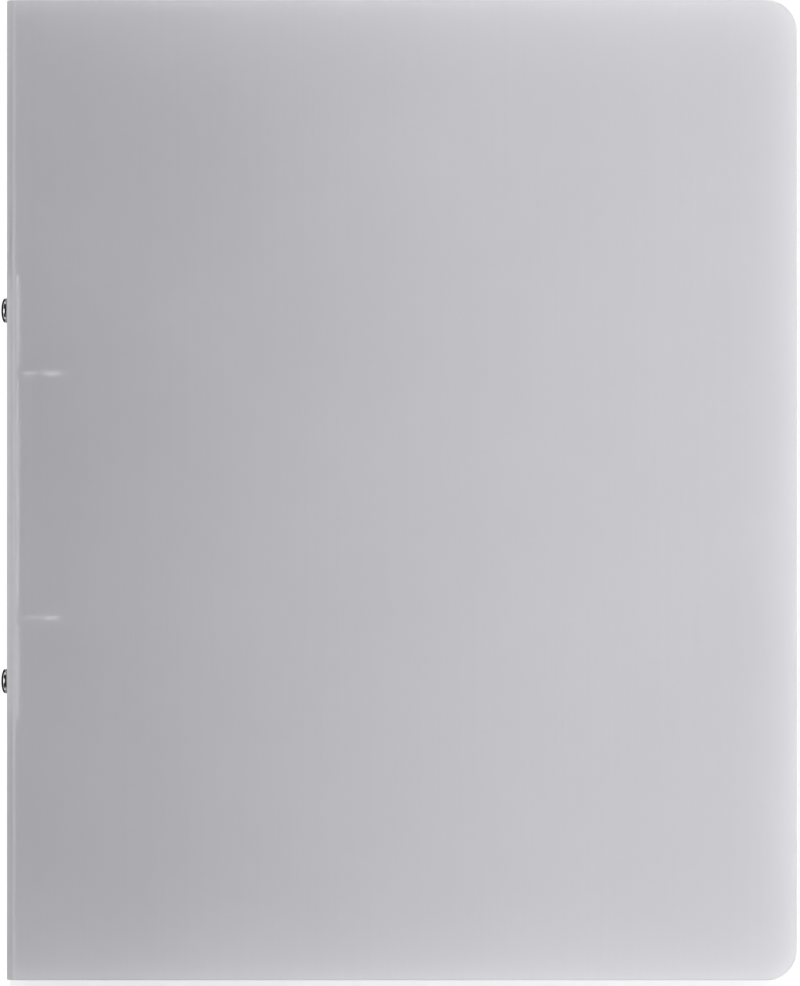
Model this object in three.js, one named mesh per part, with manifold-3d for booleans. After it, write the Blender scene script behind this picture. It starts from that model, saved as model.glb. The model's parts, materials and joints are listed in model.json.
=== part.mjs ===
// Two-ring binder of frosted polypropylene sheet, closed and lying on its back cover.
// Millimetres. +Z is up, +X runs from the spine to the free edge, +Y runs along the spine.
// The origin is the middle of the bounding box's bottom face.

import * as THREE from 'three';
import { mergeVertices } from 'three/addons/utils/BufferGeometryUtils.js';
import Module from 'manifold-3d';

const wasm = await Module();
wasm.setup();

const degrees = THREE.MathUtils.degToRad;

// Sheet: one blank, creased twice on each side of the spine

const SHEET = 0.8;
const COVER_HEIGHT = 320;
const COVER_REACH = 258;          // from the spine's outer face to the free edge
const COVER_CORNER_RADIUS = 10;
const STRIP_WIDTH = 3;            // between the two creases beside each cover
const STRIP_FOLD = degrees(45);   // what each crease is folded by when the binder is closed
const CREASE_GAP = 0.4;           // between two panels, where the living hinge bends
const CREASE_WEB = 0.25;          // sheet left at a crease by the creasing rule
const COVER_TO_OPEN_RING = 0.45;  // room beside a ring that is opened in the closed binder

// Ring mechanism: how it is placed on the spine

const MECHANISM_OFFSET = -1.8;    // its middle, along the spine
const RING_PITCH = 80;            // the standard distance between two filing holes
const RIVET_FROM_END = 11.25;     // from each end of the housing
const PLATE_FROM_END = 6;

// Rings

const RING_INNER_RADIUS = 8;
const WIRE_RADIUS = 1.2;
const RING_SINK = 0.6;            // how far a ring's inner circle dips below the housing's crown
const TIP_GAP = 0.3;
const TIP_PIN_RADIUS = 0.5;
const TIP_PIN_LENGTH = 1.1;       // past the plane where the two halves meet
const TIP_PIN_CLEARANCE = 0.2;
const FOOT_RADIUS = 0.7;
const FOOT_CLEARANCE = 0.2;       // round a foot, in its carrier plate
const FOOT_FROM_HINGE = 1.5;      // from the plate's hinge line
const FOOT_HEAD_RADIUS = 1;
const FOOT_HEAD_HEIGHT = 0.3;
const FOOT_HEAD_GAP = 0.1;        // between a peened head and its plate

// Carrier plates

const PLATE_THICKNESS = 0.6;
const PLATE_WIDTH = 5.95;         // from the hinge line to the inner edge
const PLATE_GAP = 0.3;            // between the two plates, when they lie flat
const PLATE_FLOOR_GAP = 0.55;     // between a closed plate and the spine
const CLOSED_TILT = degrees(10.5);
const OPEN_TILT = degrees(8.5);
const POST_CLEARANCE = 0.6;       // round a post, in the plates

// Housing

const HOUSING_LENGTH = 144;
const HOUSING_WALL = 0.5;
const CROWN_FLAT = 6.8;
const CROWN_GAP = 0.2;            // between an opened plate and the crown
const LIP_GAP = 0.35;             // round a plate's hinge edge
const LIP_REACH = 0.3;            // of the lip's straight end, past the hinge line
const FLARE_HEIGHT = 1;
const FLARE_LENGTH = 4;
const SLOT_END_ROOM = 0.75;       // beside the wire, along the spine
const SLOT_INNER_ROOM = 0.5;      // inside the wire, across the spine
const SLOT_FLOOR = 0.3;           // below the hinge lines

// Rivets, posts and caps

const SHANK_RADIUS = 1.6;
const SHANK_BORE_RADIUS = 1;
const SHANK_CLEARANCE = 0.15;
const POST_RADIUS = 2.5;
const ROLL_RADIUS = 2.7;
const ROLL_HEIGHT = 0.5;
const CAP_RADIUS = 4;
const CAP_HEIGHT = 2.2;
const CAP_RIM_HEIGHT = 0.85;
const CAP_SEAT_RADIUS = 2.8;
const CAP_WALL = 0.3;
const CAP_HOLE_CLEARANCE = 0.3;
const FLANGE_GAP = 0.1;
const FLANGE_THICKNESS = 0.35;
const FLANGE_TO_CAP = 0.5;        // between the flange's rim and the cap's widest part

// Fineness of the round forms

const WIRE_SIDES = 12;
const ARC_STEPS = 26;
const TURN_SEGMENTS = 24;
const DOME_STEPS = 5;
const SHOULDER_STEPS = 7;
const LIP_STEPS = 5;
const FLARE_STEPS = 4;
const CORNER_SEGMENTS = 10;

// Heights in the mechanism, above the spine's inner face

const plateHalf = PLATE_THICKNESS / 2;
const hingeHeight = PLATE_FLOOR_GAP + PLATE_WIDTH * Math.sin(CLOSED_TILT)
  + plateHalf * Math.cos(CLOSED_TILT);
const crownInner = hingeHeight + PLATE_WIDTH * Math.sin(OPEN_TILT)
  + plateHalf * Math.cos(OPEN_TILT) + CROWN_GAP;
const crownOuter = crownInner + HOUSING_WALL;
const ringCentre = crownOuter + RING_INNER_RADIUS - RING_SINK;
const wireCircle = RING_INNER_RADIUS + WIRE_RADIUS;
const ringOuterRadius = RING_INNER_RADIUS + 2 * WIRE_RADIUS;

// Distances from the mechanism's middle plane

const hingeSide = PLATE_WIDTH + PLATE_GAP / 2;
const lipRadius = plateHalf + LIP_GAP + HOUSING_WALL / 2;
const housingSide = hingeSide + lipRadius + HOUSING_WALL / 2;

// The wire's arc ends where its round end is level with the plate's hinge edge
const wireEndHeight = hingeHeight + plateHalf / Math.cos(CLOSED_TILT) + WIRE_RADIUS;
const wireEndAngle = Math.acos((ringCentre - wireEndHeight) / wireCircle);
const wireEndSide = wireCircle * Math.sin(wireEndAngle);
const footSide = hingeSide - FOOT_FROM_HINGE;

// An opened ring half turns about its plate's hinge line, and reaches this far from the middle
const openAngle = CLOSED_TILT + OPEN_TILT;
const openRingSide = hingeSide * (1 - Math.cos(openAngle))
  + (ringCentre - hingeHeight) * Math.sin(openAngle) + ringOuterRadius;

// The sheet's middle surface: the creases, and the closed binder's depth

const stripRise = STRIP_WIDTH * Math.sin(STRIP_FOLD);
const stripRun = STRIP_WIDTH * Math.cos(STRIP_FOLD);
const coverLevel = openRingSide + COVER_TO_OPEN_RING + SHEET / 2;
const spineHalf = coverLevel - stripRise;
const middleHeight = coverLevel + SHEET / 2;

const spineOuterX = CAP_HEIGHT - (COVER_REACH + CAP_HEIGHT) / 2;
const spineMiddleX = spineOuterX + SHEET / 2;
const spineInnerX = spineOuterX + SHEET;
const freeEdgeX = spineOuterX + COVER_REACH;
const coverCreaseX = spineMiddleX + stripRun;

// Places along the mechanism, from its middle

const rivetPitch = HOUSING_LENGTH - 2 * RIVET_FROM_END;
const plateLength = HOUSING_LENGTH - 2 * PLATE_FROM_END;
const rivetPlaces = [['upper', rivetPitch / 2], ['lower', -rivetPitch / 2]];
const ringPlaces = [['upper', RING_PITCH / 2], ['lower', -RING_PITCH / 2]];

// Materials

const FROSTED_SHEET = { color: 0xc3c3c9, roughness: 0.55, metalness: 0 };
const NICKEL_PLATE = { color: 0xc9c7c2, roughness: 0.22, metalness: 1 };
const ZINC_PLATE = { color: 0xa9abb0, roughness: 0.42, metalness: 1 };

function named(name, geometry, finish) {
  const mesh = new THREE.Mesh(geometry, new THREE.MeshStandardMaterial(finish));
  mesh.name = name;
  return mesh;
}

// A closed geometry as a solid that can be cut and joined
function toSolid(geometry) {
  const bare = geometry.clone();
  bare.deleteAttribute('normal');
  bare.deleteAttribute('uv');
  const merged = mergeVertices(bare, 1e-4);
  return new wasm.Manifold(new wasm.Mesh({
    numProp: 3,
    vertProperties: new Float32Array(merged.attributes.position.array),
    triVerts: new Uint32Array(merged.index.array),
  }));
}

function toGeometry(solid) {
  const mesh = solid.getMesh();
  const geometry = new THREE.BufferGeometry();
  geometry.setAttribute('position', new THREE.BufferAttribute(mesh.vertProperties, 3));
  geometry.setIndex(new THREE.BufferAttribute(mesh.triVerts, 1));
  geometry.computeVertexNormals();
  return geometry;
}

function cut(geometry, cutters) {
  return toGeometry(cutters.reduce((left, cutter) => left.subtract(toSolid(cutter)), toSolid(geometry)));
}

function join(geometries) {
  return toGeometry(geometries.map(toSolid).reduce((whole, piece) => whole.add(piece)));
}

// A cross-section in X and Z, carried along Y and centred on it
function prismAlongY(section, length) {
  const shape = new THREE.Shape(section.map(([x, z]) => new THREE.Vector2(x, z)));
  const geometry = new THREE.ExtrudeGeometry(shape, { depth: length, bevelEnabled: false });
  geometry.rotateX(Math.PI / 2);
  geometry.translate(0, length / 2, 0);
  return geometry;
}

function cylinderAlongX(radius, fromX, toX, y, z) {
  const geometry = new THREE.CylinderGeometry(radius, radius, toX - fromX, TURN_SEGMENTS);
  geometry.rotateZ(Math.PI / 2);
  geometry.translate((fromX + toX) / 2, y, z);
  return geometry;
}

function cylinderAlongZ(radius, x, y, fromZ, toZ) {
  const geometry = new THREE.CylinderGeometry(radius, radius, toZ - fromZ, TURN_SEGMENTS);
  geometry.rotateX(Math.PI / 2);
  geometry.translate(x, y, (fromZ + toZ) / 2);
  return geometry;
}

// Sheet panels. A panel runs along +X from its first crease, on the sheet's middle surface.
// A creased end is bevelled from both faces down to the web, so that it can fold either way.

function creasedEnd(at, inward) {
  const bevel = (SHEET - CREASE_WEB) / 2 * Math.tan(STRIP_FOLD / 2);
  const web = at + inward * CREASE_GAP / 2;
  const face = web + inward * bevel;
  return [[face, -SHEET / 2], [web, -CREASE_WEB / 2], [web, CREASE_WEB / 2], [face, SHEET / 2]];
}

function plainEnd(at) {
  return [[at, -SHEET / 2], [at, SHEET / 2]];
}

function panel(startEnd, farEnd) {
  return prismAlongY([...farEnd, ...startEnd.reverse()], COVER_HEIGHT);
}

function coverPanel() {
  const width = freeEdgeX - coverCreaseX;
  const top = COVER_HEIGHT / 2;
  const r = COVER_CORNER_RADIUS;
  const outline = new THREE.Shape();
  outline.moveTo(-SHEET, -top);
  outline.lineTo(width - r, -top);
  outline.absarc(width - r, -top + r, r, -Math.PI / 2, 0, false);
  outline.lineTo(width, top - r);
  outline.absarc(width - r, top - r, r, 0, Math.PI / 2, false);
  outline.lineTo(-SHEET, top);
  const blank = new THREE.ExtrudeGeometry(outline, {
    depth: 2 * SHEET, bevelEnabled: false, curveSegments: CORNER_SEGMENTS,
  });
  blank.translate(0, 0, -SHEET);
  const creased = panel(creasedEnd(0, 1), plainEnd(width));
  return toGeometry(toSolid(creased).intersect(toSolid(blank)));
}

function cover(name, side) {
  const mesh = named(name, coverPanel(), FROSTED_SHEET);
  mesh.position.set(coverCreaseX, 0, middleHeight + side * coverLevel);
  return mesh;
}

function creaseStrip(name, side) {
  const geometry = panel(creasedEnd(0, 1), creasedEnd(STRIP_WIDTH, -1));
  const mesh = named(name, geometry, FROSTED_SHEET);
  mesh.position.set(spineMiddleX, 0, middleHeight + side * spineHalf);
  mesh.rotation.y = -side * STRIP_FOLD;
  return mesh;
}

// The spine panel stands up, with a hole for each rivet
function spinePanel() {
  const geometry = panel(creasedEnd(-spineHalf, 1), creasedEnd(spineHalf, -1));
  geometry.rotateY(-Math.PI / 2);
  const holes = rivetPlaces.map(([, y]) => cylinderAlongX(
    SHANK_RADIUS + SHANK_CLEARANCE, -SHEET, SHEET, MECHANISM_OFFSET + y, 0));
  const mesh = named('spine_panel', cut(geometry, holes), FROSTED_SHEET);
  mesh.position.set(spineMiddleX, 0, middleHeight);
  return mesh;
}

// Mechanism. Here +X is the height above the spine's inner face, and Z is the distance to the
// side, towards the front cover. A rear piece is its front twin turned half a turn about X.

function turnedToSide(mesh, side) {
  mesh.rotation.x = side > 0 ? 0 : Math.PI;
  return mesh;
}

// The middle line of the housing's wall, from the edge of the crown's flat to the lip, at +Z
function housingLine(lift) {
  const line = [];
  const crown = crownInner + HOUSING_WALL / 2 + lift;
  const flat = CROWN_FLAT / 2;
  const wall = hingeSide + lipRadius;
  for (let i = 0; i <= SHOULDER_STEPS; i++) {
    const a = Math.PI / 2 * i / SHOULDER_STEPS;
    line.push([hingeHeight + (crown - hingeHeight) * Math.cos(a), flat + (wall - flat) * Math.sin(a)]);
  }
  for (let i = 1; i <= LIP_STEPS; i++) {
    const a = Math.PI / 2 * i / LIP_STEPS;
    line.push([hingeHeight - lipRadius * Math.sin(a), hingeSide + lipRadius * Math.cos(a)]);
  }
  line.push([hingeHeight - lipRadius, hingeSide - LIP_REACH]);
  return line.map(([x, z]) => new THREE.Vector2(x, z));
}

// The line moved sideways by a distance, square to itself
function offsetLine(line, distance) {
  return line.map((point, i) => {
    const before = line[Math.max(i - 1, 0)];
    const after = line[Math.min(i + 1, line.length - 1)];
    const along = after.clone().sub(before).normalize();
    const square = i === 0 ? new THREE.Vector2(1, 0) : new THREE.Vector2(along.y, -along.x);
    return point.clone().addScaledVector(square, distance);
  });
}

function mirrored(line) {
  return line.map((point) => new THREE.Vector2(point.x, -point.y));
}

function housingSection(lift) {
  const outer = offsetLine(housingLine(lift), HOUSING_WALL / 2);
  const inner = offsetLine(housingLine(lift), -HOUSING_WALL / 2);
  return [...outer, ...inner.slice().reverse(), ...mirrored(inner), ...mirrored(outer).reverse()];
}

// A closed body through cross-sections in X and Z, each at its own Y, lowest Y first
function loft(sections) {
  const count = sections[0].points.length;
  const positions = [];
  for (const { y, points } of sections) {
    for (const point of points) positions.push(point.x, y, point.y);
  }
  const index = [];
  for (let s = 0; s + 1 < sections.length; s++) {
    for (let i = 0; i < count; i++) {
      const a = s * count + i;
      const b = s * count + (i + 1) % count;
      index.push(a, a + count, b, b, a + count, b + count);
    }
  }
  const capFaces = THREE.ShapeUtils.triangulateShape(sections[0].points, []);
  const last = (sections.length - 1) * count;
  for (const [a, b, c] of capFaces) {
    index.push(a, b, c);
    index.push(last + a, last + c, last + b);
  }
  const geometry = new THREE.BufferGeometry();
  geometry.setAttribute('position', new THREE.Float32BufferAttribute(positions, 3));
  geometry.setIndex(index);
  return geometry;
}

// The housing's two ends flare away from the spine
function housingStations() {
  const end = HOUSING_LENGTH / 2;
  const stations = [];
  for (let i = 0; i <= FLARE_STEPS; i++) {
    const t = 1 - i / FLARE_STEPS;
    stations.push({ y: -end + FLARE_LENGTH * (1 - t), lift: FLARE_HEIGHT * t * t });
  }
  return [...stations, ...stations.map(({ y, lift }) => ({ y: -y, lift })).reverse()];
}

function ringSlot(y, side) {
  const inner = wireEndSide - WIRE_RADIUS - SLOT_INNER_ROOM;
  const outer = housingSide + HOUSING_WALL;
  const floor = hingeHeight - SLOT_FLOOR;
  const top = crownOuter + HOUSING_WALL;
  const slot = new THREE.BoxGeometry(top - floor, 2 * (WIRE_RADIUS + SLOT_END_ROOM), outer - inner);
  slot.translate((floor + top) / 2, y, side * (inner + outer) / 2);
  return slot;
}

function housing() {
  const sections = housingStations().map(({ y, lift }) => ({ y, points: housingSection(lift) }));
  const slots = ringPlaces.flatMap(([, y]) => [ringSlot(y, 1), ringSlot(y, -1)]);
  const holes = rivetPlaces.map(([, y]) => cylinderAlongX(
    SHANK_RADIUS + SHANK_CLEARANCE, crownInner - HOUSING_WALL, crownOuter + HOUSING_WALL, y, 0));
  return named('mechanism_housing', cut(loft(sections), [...slots, ...holes]), NICKEL_PLATE);
}

// A plate's hinge edge is rounded, and its inner edge is notched round the posts
function carrierPlate(name, side) {
  const section = [[PLATE_WIDTH, -plateHalf], [PLATE_WIDTH, plateHalf]];
  for (let i = 0; i <= LIP_STEPS * 2; i++) {
    const a = Math.PI / 2 + Math.PI * i / (LIP_STEPS * 2);
    section.push([plateHalf * Math.cos(a), plateHalf * Math.sin(a)]);
  }
  const plate = prismAlongY(section, plateLength);
  plate.rotateY(Math.PI / 2 + CLOSED_TILT);
  plate.translate(hingeHeight, 0, hingeSide);
  const notches = rivetPlaces.map(([, y]) => cylinderAlongX(
    POST_RADIUS + POST_CLEARANCE, 0, crownInner, y, 0));
  const holes = ringPlaces.map(([, y]) => cylinderAlongX(
    FOOT_RADIUS + FOOT_CLEARANCE, 0, crownInner, y, footSide));
  return turnedToSide(named(name, cut(plate, [...notches, ...holes]), ZINC_PLATE), side);
}

// The lower face of a closed plate, at a distance from the middle
function plateUnderside(fromMiddle) {
  return hingeHeight - (hingeSide - fromMiddle) * Math.tan(CLOSED_TILT)
    - plateHalf / Math.cos(CLOSED_TILT);
}

// The wire's middle line, from where the two halves meet to the end inside the housing
class RingArc extends THREE.Curve {
  getPoint(t, target = new THREE.Vector3()) {
    const start = Math.asin(TIP_GAP / 2 / wireCircle);
    const angle = THREE.MathUtils.lerp(start, Math.PI - wireEndAngle, t);
    return target.set(ringCentre + wireCircle * Math.cos(angle), 0, wireCircle * Math.sin(angle));
  }
}

function ringWire() {
  const corners = Array.from({ length: WIRE_SIDES }, (_, i) => {
    const a = 2 * Math.PI * i / WIRE_SIDES;
    return new THREE.Vector2(WIRE_RADIUS * Math.cos(a), WIRE_RADIUS * Math.sin(a));
  });
  return new THREE.ExtrudeGeometry(new THREE.Shape(corners), {
    steps: ARC_STEPS, extrudePath: new RingArc(), bevelEnabled: false,
  });
}

// The round end of the wire, the foot through the plate and its peened head
function ringFoot() {
  const end = new THREE.SphereGeometry(WIRE_RADIUS, WIRE_SIDES, WIRE_SIDES / 2);
  end.translate(wireEndHeight, 0, wireEndSide);
  const headTop = plateUnderside(footSide - FOOT_HEAD_RADIUS) - FOOT_HEAD_GAP;
  const foot = cylinderAlongX(FOOT_RADIUS, headTop - FOOT_HEAD_HEIGHT / 2, wireEndHeight, 0, footSide);
  const head = cylinderAlongX(FOOT_HEAD_RADIUS, headTop - FOOT_HEAD_HEIGHT, headTop, 0, footSide);
  return [end, foot, head];
}

// The front half's tip carries a pin, and the rear half's tip the hole that takes it
function tipPin(radius, reach) {
  return cylinderAlongZ(radius, ringCentre + wireCircle, 0, -reach, TIP_GAP / 2 + WIRE_RADIUS);
}

function ringHalf(name, y, side) {
  const body = join([ringWire(), ...ringFoot()]);
  const geometry = side > 0
    ? join([body, tipPin(TIP_PIN_RADIUS, TIP_PIN_LENGTH)])
    : cut(body, [cylinderAlongZ(TIP_PIN_RADIUS + TIP_PIN_CLEARANCE, ringCentre + wireCircle, 0,
      0, TIP_PIN_LENGTH + TIP_PIN_CLEARANCE)]);
  const mesh = turnedToSide(named(name, geometry, NICKEL_PLATE), side);
  mesh.position.y = y;
  return mesh;
}

// Turned pieces. A profile is a list of [radius, height above the spine's inner face].
function turned(name, profile, finish, y) {
  const points = profile.map(([r, x]) => new THREE.Vector2(r, x));
  const geometry = new THREE.LatheGeometry(points, TURN_SEGMENTS);
  geometry.rotateZ(-Math.PI / 2);
  const mesh = named(name, geometry, finish);
  mesh.position.y = y;
  return mesh;
}

function quarter(steps, at) {
  return Array.from({ length: steps + 1 }, (_, i) => at(Math.PI / 2 * i / steps));
}

// A hollow rivet: flange outside the spine, shank, and far end rolled over on the crown
function rivet(name, y) {
  const outside = -SHEET;
  const flangeLow = outside - CAP_WALL - FLANGE_GAP;
  const flangeRadius = CAP_RADIUS - CAP_WALL - FLANGE_TO_CAP;
  const rollMiddle = (ROLL_RADIUS + SHANK_BORE_RADIUS) / 2;
  const rollWidth = (ROLL_RADIUS - SHANK_BORE_RADIUS) / 2;
  const roll = Array.from({ length: 2 * DOME_STEPS + 1 }, (_, i) => {
    const a = Math.PI * i / (2 * DOME_STEPS);
    return [rollMiddle + rollWidth * Math.cos(a), crownOuter + ROLL_HEIGHT * Math.sin(a)];
  });
  const profile = [
    [SHANK_BORE_RADIUS, flangeLow - FLANGE_THICKNESS],
    [flangeRadius, flangeLow - FLANGE_THICKNESS],
    [flangeRadius, flangeLow],
    [SHANK_RADIUS, flangeLow],
    [SHANK_RADIUS, crownOuter],
    ...roll,
    [SHANK_BORE_RADIUS, flangeLow - FLANGE_THICKNESS],
  ];
  return turned(name, profile, ZINC_PLATE, y);
}

function rivetPost(name, y) {
  const bore = SHANK_RADIUS + SHANK_CLEARANCE;
  const profile = [[bore, 0], [POST_RADIUS, 0], [POST_RADIUS, crownInner], [bore, crownInner], [bore, 0]];
  return turned(name, profile, ZINC_PLATE, y);
}

// A domed shell crimped round the rivet's flange. Its widest part stands off the spine.
function rivetCap(name, y) {
  const outside = -SHEET;
  const dome = CAP_HEIGHT - CAP_RIM_HEIGHT;
  const shell = (wall) => [
    ...quarter(DOME_STEPS, (a) => [
      (CAP_RADIUS - wall) * Math.sin(a), outside - CAP_RIM_HEIGHT - (dome - wall) * Math.cos(a)]),
    ...quarter(DOME_STEPS, (a) => [
      CAP_SEAT_RADIUS + (CAP_RADIUS - wall - CAP_SEAT_RADIUS) * Math.cos(a),
      outside - wall - (CAP_RIM_HEIGHT - wall) * (1 - Math.sin(a))]).slice(1),
  ];
  const hole = SHANK_RADIUS + CAP_HOLE_CLEARANCE;
  const profile = [
    ...shell(0), [hole, outside], [hole, outside - CAP_WALL], ...shell(CAP_WALL).reverse(),
  ];
  return turned(name, profile, NICKEL_PLATE, y);
}

// The mechanism on its spine

const mechanism = new THREE.Group();
mechanism.position.set(spineInnerX, MECHANISM_OFFSET, middleHeight);
mechanism.add(housing());
mechanism.add(carrierPlate('front_carrier_plate', 1), carrierPlate('rear_carrier_plate', -1));
for (const [place, y] of ringPlaces) {
  mechanism.add(ringHalf(`${place}_front_ring_half`, y, 1), ringHalf(`${place}_rear_ring_half`, y, -1));
}
for (const [place, y] of rivetPlaces) {
  mechanism.add(rivet(`${place}_rivet`, y));
  mechanism.add(rivetPost(`${place}_rivet_post`, y));
  mechanism.add(rivetCap(`${place}_rivet_cap`, y));
}

// The whole binder

const binder = new THREE.Group();
binder.add(cover('front_cover', 1), cover('back_cover', -1));
binder.add(creaseStrip('front_crease_strip', 1), creaseStrip('back_crease_strip', -1));
binder.add(spinePanel(), mechanism);

export default binder;
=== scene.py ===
# %% [markdown]
# # A two-ring binder of frosted polypropylene
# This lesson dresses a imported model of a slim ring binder. The model lies closed on its back cover, with
# +Z up, +X from the spine to the free edge and +Y along the spine. Shapes are worked out in millimetres in
# the model's own frame and written to their meshes in metres, so nothing is fitted afterwards.

# %% Load the fixed frame
import json

import bpy
import numpy as np
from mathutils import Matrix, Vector


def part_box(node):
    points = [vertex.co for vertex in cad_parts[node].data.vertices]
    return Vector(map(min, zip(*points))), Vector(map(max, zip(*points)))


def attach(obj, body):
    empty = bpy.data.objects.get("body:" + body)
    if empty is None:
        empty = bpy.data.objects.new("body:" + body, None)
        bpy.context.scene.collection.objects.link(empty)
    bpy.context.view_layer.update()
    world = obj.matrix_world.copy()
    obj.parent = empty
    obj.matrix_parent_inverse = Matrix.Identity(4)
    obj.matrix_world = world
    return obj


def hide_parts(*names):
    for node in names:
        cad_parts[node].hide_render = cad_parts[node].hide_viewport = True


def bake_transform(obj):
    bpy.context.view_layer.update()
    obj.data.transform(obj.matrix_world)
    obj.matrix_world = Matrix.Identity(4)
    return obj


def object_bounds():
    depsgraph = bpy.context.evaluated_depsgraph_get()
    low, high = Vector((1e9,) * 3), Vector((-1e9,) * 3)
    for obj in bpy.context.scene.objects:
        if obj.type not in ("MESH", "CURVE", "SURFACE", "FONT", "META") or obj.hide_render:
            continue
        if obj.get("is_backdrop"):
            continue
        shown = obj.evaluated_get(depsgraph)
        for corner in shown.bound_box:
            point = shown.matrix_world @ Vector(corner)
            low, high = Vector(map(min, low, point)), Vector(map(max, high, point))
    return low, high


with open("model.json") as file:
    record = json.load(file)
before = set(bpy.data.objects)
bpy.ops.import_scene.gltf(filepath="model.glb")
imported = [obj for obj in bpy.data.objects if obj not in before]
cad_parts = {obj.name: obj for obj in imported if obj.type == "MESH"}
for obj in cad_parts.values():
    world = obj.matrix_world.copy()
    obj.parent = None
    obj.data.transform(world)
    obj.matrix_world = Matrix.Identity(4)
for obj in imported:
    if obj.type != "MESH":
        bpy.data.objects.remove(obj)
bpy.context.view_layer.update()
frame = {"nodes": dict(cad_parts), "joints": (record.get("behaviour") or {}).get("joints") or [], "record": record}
MM = 0.001

# %% [markdown]
# ## Places taken from the model
# Four creases join the five panels of the sheet. Each one is a hinge in the model, so its joint says where
# the sheet bends. The mechanism's places come from the boxes of its nodes. Reading them from there keeps the
# dressed binder and the moving model together.

# %% Where the creases and the mechanism are
joints = {joint["name"]: joint for joint in frame["joints"]}


def joint_point(name):
    """A joint's place in the cross-section, as its X and Z in millimetres."""
    x, _, z = joints[name]["pos_m"]
    return np.array([x, z]) / MM


def node_box(name):
    """A node's lowest and highest corners in millimetres."""
    low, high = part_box(name)
    return np.array(low) / MM, np.array(high) / MM


spine_crease = joint_point("front_spine_crease")
cover_crease = joint_point("front_cover_crease")
MIDDLE = (spine_crease[1] + joint_point("back_spine_crease")[1]) / 2
cover_low, cover_high = node_box("front_cover")
SHEET = cover_high[2] - cover_low[2]
HALF_HEIGHT = cover_high[1]
FREE_EDGE = cover_high[0]
SPINE_MIDDLE = spine_crease[0]
SPINE_INNER = SPINE_MIDDLE + SHEET / 2
SPINE_OUTER = SPINE_MIDDLE - SHEET / 2

carrier_hinge = joint_point("ring_opening")
HINGE_HEIGHT = carrier_hinge[0] - SPINE_INNER
HINGE_SIDE = carrier_hinge[1] - MIDDLE
PLACES = ("upper", "lower")


def place_along_spine(node):
    """The middle of a node's box along the spine, in millimetres."""
    low, high = node_box(node)
    return (low[1] + high[1]) / 2


ring_y = {place: place_along_spine(f"{place}_front_ring_half") for place in PLACES}
rivet_y = {place: place_along_spine(f"{place}_rivet") for place in PLACES}
print("sheet, mm:", round(SHEET, 3), "rings at", ring_y, "rivets at", rivet_y)

# %% [markdown]
# ## The camera
# The photograph looks straight down on the front cover from far away: the cover's edges are parallel to the
# picture's, and the rivet caps still show beside the spine. A long lens from 4 m gives that flat view. The
# cover's outer face fills the picture at a measured scale, and that scale and the distance set the lens.

# %% Place the camera over the front cover
FRAME_WIDTH, FRAME_HEIGHT = 800, 986
PIXEL = 0.32663                         # millimetres, on the front cover's outer face
CAMERA_DISTANCE = 4000
SPINE_EDGE_PIXEL = 6.6                  # the sheet's left edge in the photograph
TOP_EDGE_PIXEL = 0.5

camera_x = SPINE_OUTER + (FRAME_WIDTH / 2 - SPINE_EDGE_PIXEL) * PIXEL
camera_y = HALF_HEIGHT - (FRAME_HEIGHT / 2 - TOP_EDGE_PIXEL) * PIXEL
camera_data = bpy.data.cameras.new("camera")
camera_data.lens = camera_data.sensor_width * CAMERA_DISTANCE / (FRAME_HEIGHT * PIXEL)
camera_data.clip_end = 20.0
camera = bpy.data.objects.new("camera", camera_data)
camera.location = Vector((camera_x, camera_y, cover_high[2] + CAMERA_DISTANCE)) * MM
bpy.context.scene.collection.objects.link(camera)
bpy.context.scene.camera = camera
bpy.context.scene.view_settings.view_transform = "Standard"
print("lens, mm:", round(camera_data.lens, 1))

# %% [markdown]
# ## Light
# A frosted sheet shows the light that falls on it and the light that leaks through it. A long softbox hangs
# over the free edge and gives the slow fall-off towards the spine, a low one behind the spine lights the
# folded edge and puts the pale spots on the caps, and an even pale world fills the rest.

# %% Even pale world
WORLD_FILL = 0.42
world = bpy.data.worlds.new("studio")
bpy.context.scene.world = world
world.use_nodes = True
background = world.node_tree.nodes["Background"]
background.inputs["Color"].default_value = (1, 1, 1, 1)
background.inputs["Strength"].default_value = WORLD_FILL
print("world:", world.name, WORLD_FILL)


# %% Softboxes
def softbox(name, place, aim, width, length, power):
    """An area lamp, its length along Y, turned to face a point, which the camera doesn't see."""
    data = bpy.data.lights.new(name, "AREA")
    data.shape = "RECTANGLE"
    data.size = width
    data.size_y = length
    data.energy = power
    lamp = bpy.data.objects.new(name, data)
    lamp.location = place
    lamp.rotation_euler = (Vector(aim) - Vector(place)).to_track_quat("-Z", "Y").to_euler()
    lamp.visible_camera = False
    bpy.context.scene.collection.objects.link(lamp)
    return lamp


softbox("long_softbox", place=(0.17, 0.0, 0.46), aim=(0.17, 0, 0), width=0.40, length=1.10, power=4.8)
softbox("low_softbox", place=(-0.78, 0.0, 0.42), aim=(-0.10, 0, 0), width=0.45, length=0.45, power=3.1)

# %% [markdown]
# ## Shader nodes from code
# Every finish below is a tree of shader nodes. Adding and joining them one by one takes many lines, so a few
# helpers add a node and join it in one call, and they read like the sums that they stand for.

# %% Helpers for shader nodes
def add_node(tree, kind, **values):
    """A new shader node. Each keyword is an input socket's name, with _ for a space, or a setting."""
    made = tree.nodes.new(kind)
    for key, value in values.items():
        socket = made.inputs.get(key.replace("_", " "))
        if socket is None:
            setattr(made, key, value)
        elif isinstance(value, bpy.types.NodeSocket):
            tree.links.new(value, socket)
        else:
            socket.default_value = value
    return made


def arithmetic(tree, operation, first, second=0.0):
    """A Math node's result, from sockets or numbers."""
    made = add_node(tree, "ShaderNodeMath", operation=operation)
    for socket, value in zip(made.inputs, (first, second)):
        if isinstance(value, bpy.types.NodeSocket):
            tree.links.new(value, socket)
        else:
            socket.default_value = value
    return made.outputs["Value"]


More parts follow.
